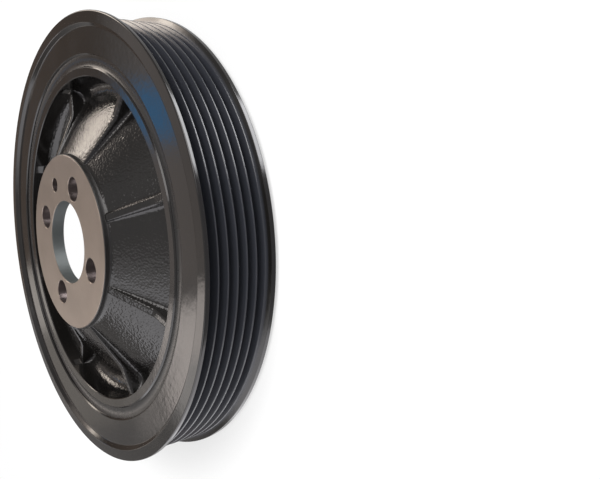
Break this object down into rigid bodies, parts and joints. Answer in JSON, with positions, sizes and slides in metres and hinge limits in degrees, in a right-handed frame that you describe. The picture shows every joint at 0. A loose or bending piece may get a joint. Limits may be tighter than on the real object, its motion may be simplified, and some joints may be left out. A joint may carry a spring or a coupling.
{
  "type": "harmonic balancer",
  "caption": "Crankshaft harmonic balancer: ribbed cast hub with a bolted flange, bonded rubber ring and a grooved outer ring that drives a poly-V belt.",
  "frame": {"origin": "centre of the bounding box's base, on the crankshaft axis, in the plane of the front face that the part stands on", "axes": "+Z along the crankshaft axis, from the open dish at the front to the hub's mounting face; +Y from the axis through the dowel hole"},
  "size_m": [0.17, 0.17, 0.0348],
  "materials": {
    "hub_paint": "gloss black coat over cast iron; mounting face machined and matt; bore bare grey steel",
    "bonded_rubber": "satin black, painted over with the rest",
    "ring_paint": "gloss black coat over turned iron"
  },
  "bodies": {
    "root": {"hub": "hub_paint", "rubber_ring": "bonded_rubber", "pulley_ring": "ring_paint"}
  },
  "joints": []
}
